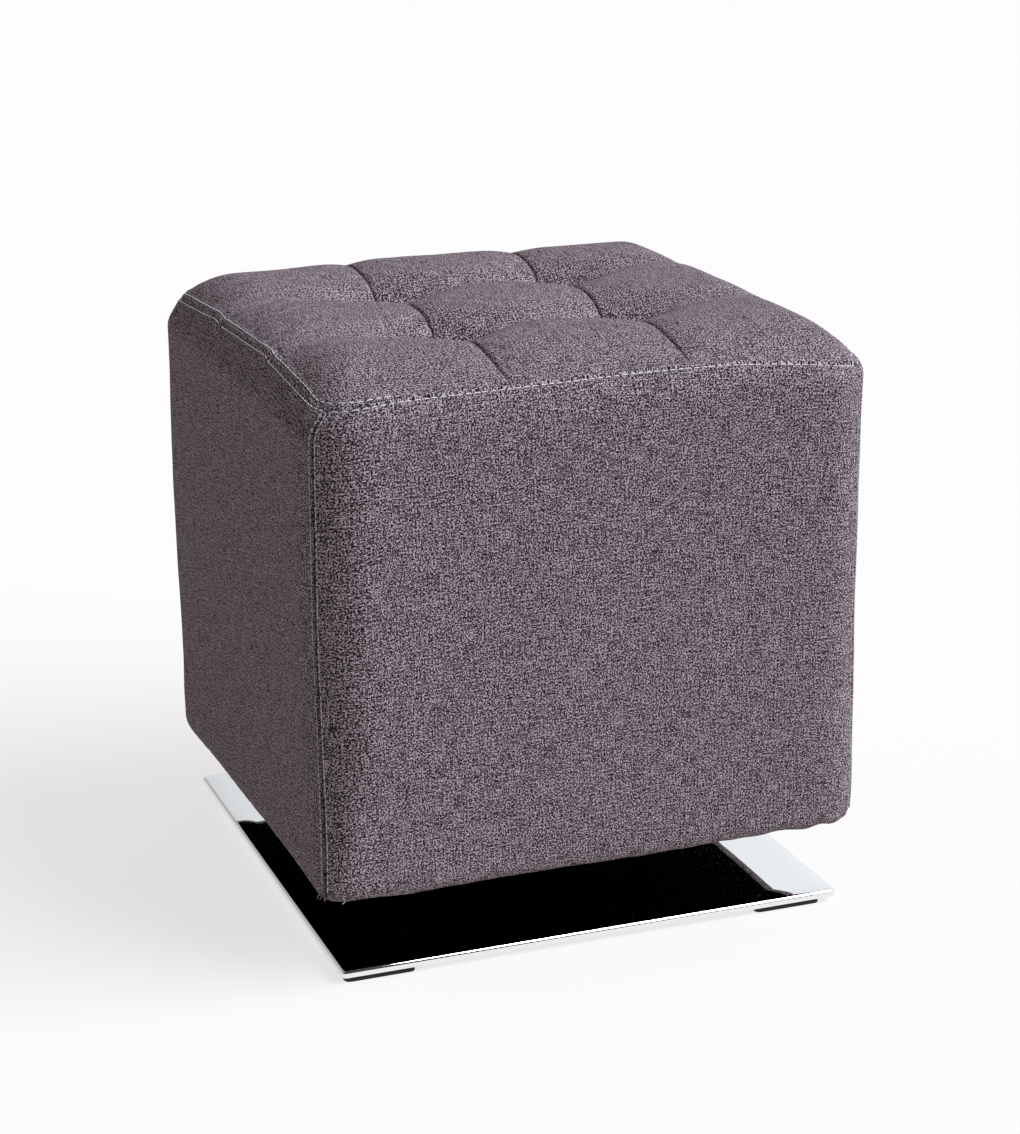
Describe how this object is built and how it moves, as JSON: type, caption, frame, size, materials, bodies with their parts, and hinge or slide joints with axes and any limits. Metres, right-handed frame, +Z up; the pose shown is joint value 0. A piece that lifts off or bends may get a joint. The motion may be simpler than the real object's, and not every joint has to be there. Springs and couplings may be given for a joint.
{
  "type": "cube pouf stool",
  "caption": "Upholstered cube stool with a tufted top and double-stitched edges, raised over a square mirror-finished base plate on an inferred swivel.",
  "frame": {"origin": "on the floor, under the middle of the stool", "axes": "+Z up; -Y is the front face, the wide lit face of the picture; -X is the left face, the dark one; +X is the viewer's right"},
  "size_m": [0.41, 0.41, 0.43],
  "materials": {
    "cover_cloth": "fine matt grey-mauve woven cloth with light flecks, pale topstitching",
    "underside_black": null,
    "painted_black": null,
    "mirror_chrome": "mirror polish, flat top, softly rounded edge",
    "pad_black": "matt black"
  },
  "bodies": {
    "base": {"base_plate": "mirror_chrome", "swivel_column": "painted_black", "floor_pad_front_left": "pad_black", "floor_pad_front_right": "pad_black", "floor_pad_back_right": "pad_black", "floor_pad_back_left": "pad_black"},
    "seat": {"top_cover_left": "cover_cloth", "top_cover_middle": "cover_cloth", "top_cover_right": "cover_cloth", "side_cover_front": "cover_cloth", "side_cover_right": "cover_cloth", "side_cover_back": "cover_cloth", "side_cover_left": "cover_cloth", "underside_board": "underside_black", "swivel_turnplate": "painted_black"}
  },
  "joints": [
    {"name": "seat_swivel", "type": "hinge", "parent": "base", "child": "seat", "pos_m": [0, 0, 0.0657], "axis": [0, 0, 1], "continuous": true}
  ]
}
